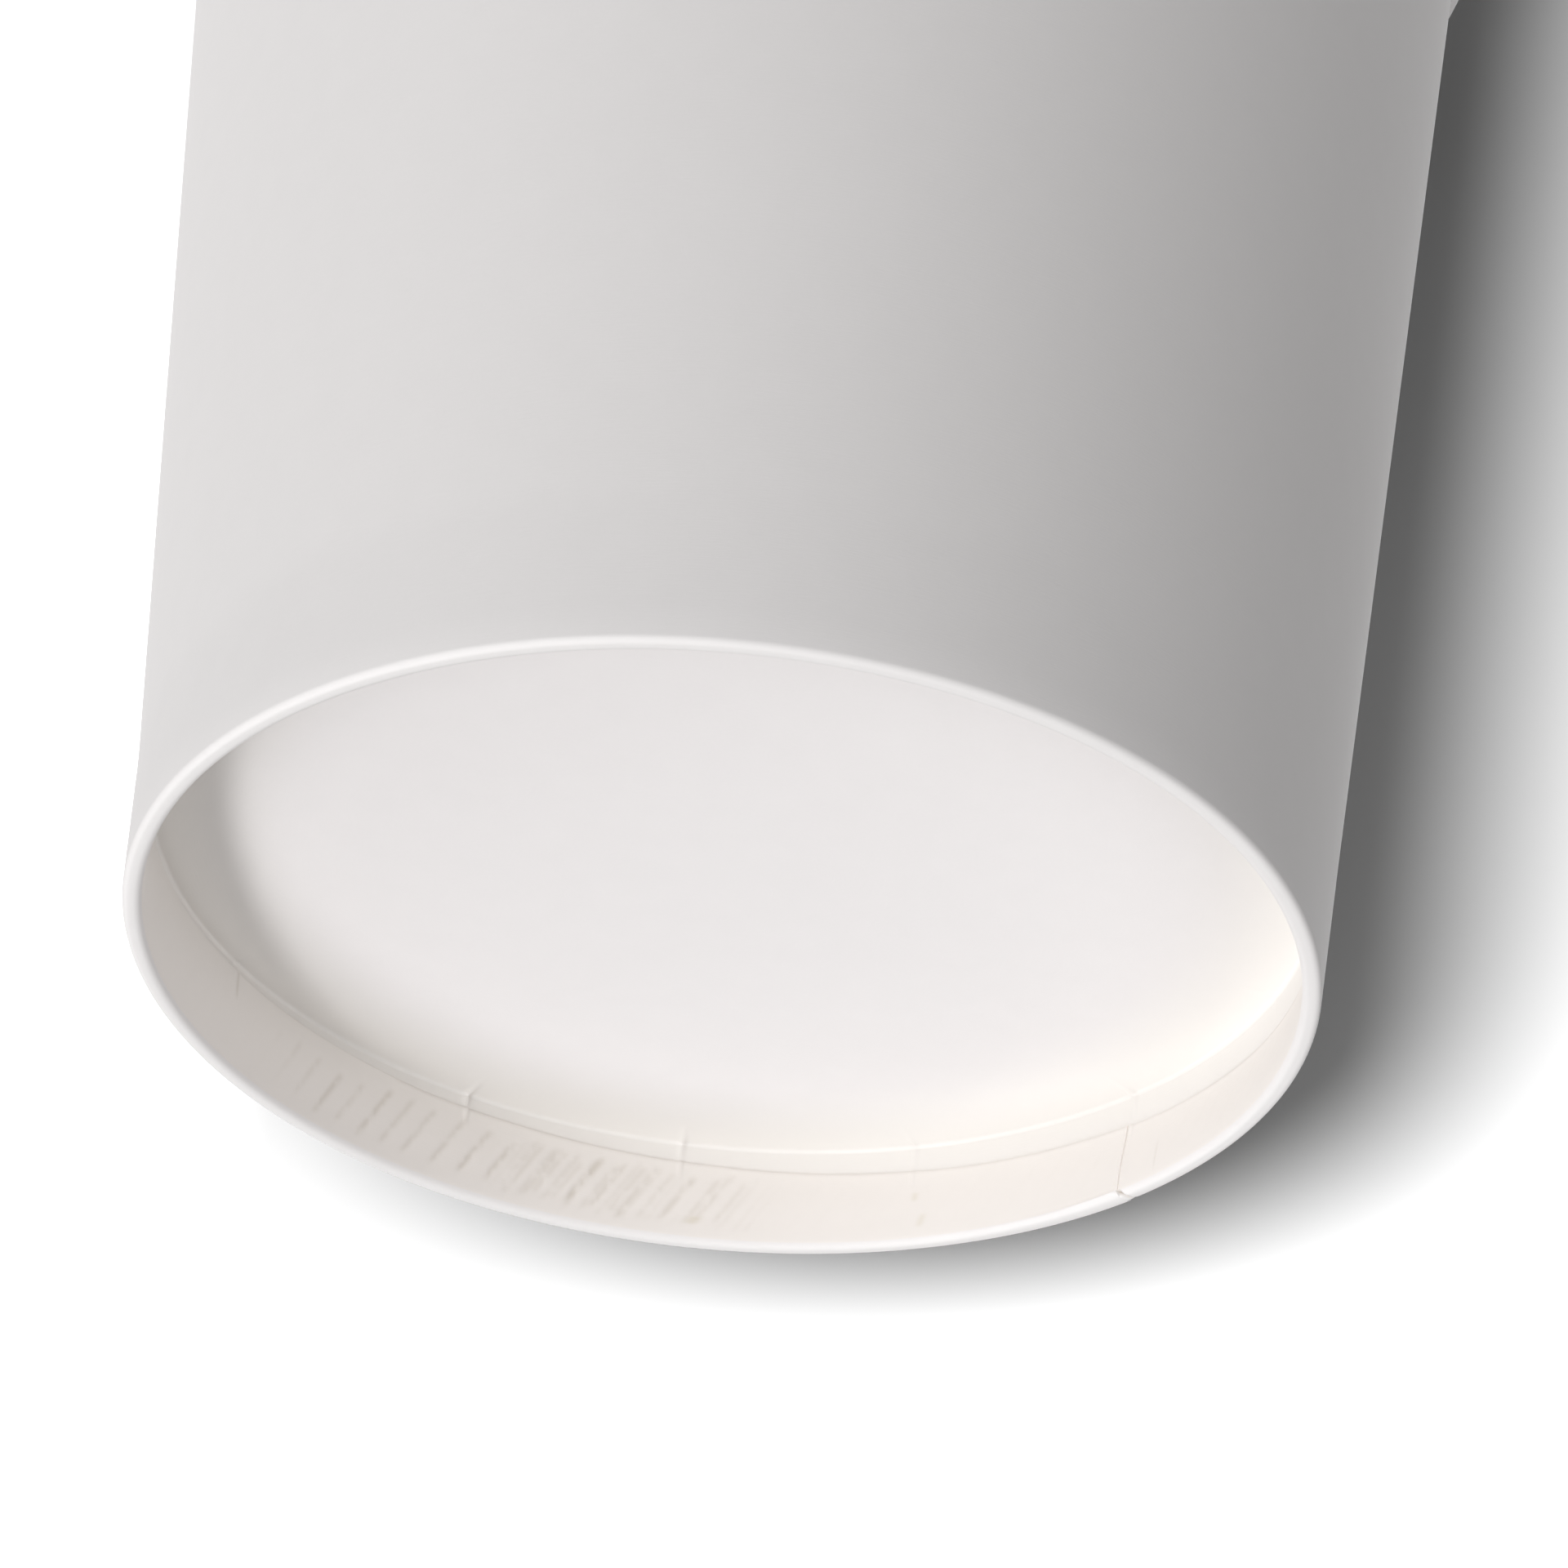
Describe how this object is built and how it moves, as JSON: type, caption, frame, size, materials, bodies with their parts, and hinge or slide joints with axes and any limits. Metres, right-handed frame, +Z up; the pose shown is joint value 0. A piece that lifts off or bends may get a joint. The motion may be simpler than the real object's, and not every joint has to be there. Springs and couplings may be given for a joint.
{
  "type": "paper soup cup",
  "caption": "Tapered paperboard soup cup with a rolled rim, a lapped side seam and a folded foot that holds its flat bottom.",
  "frame": {"origin": "centre of the foot ring, on the plane that the cup stands on", "axes": "+Z up along the cup's axis to the mouth; +X and +Y across, with the side seam at 40 degrees from +X towards +Y"},
  "size_m": [0.1218, 0.1218, 0.123],
  "materials": {
    "wall_board": "matte coated paperboard",
    "bottom_board": "satin coated paperboard"
  },
  "bodies": {
    "root": {"side_wall": "wall_board", "bottom_disc": "bottom_board"}
  },
  "joints": []
}
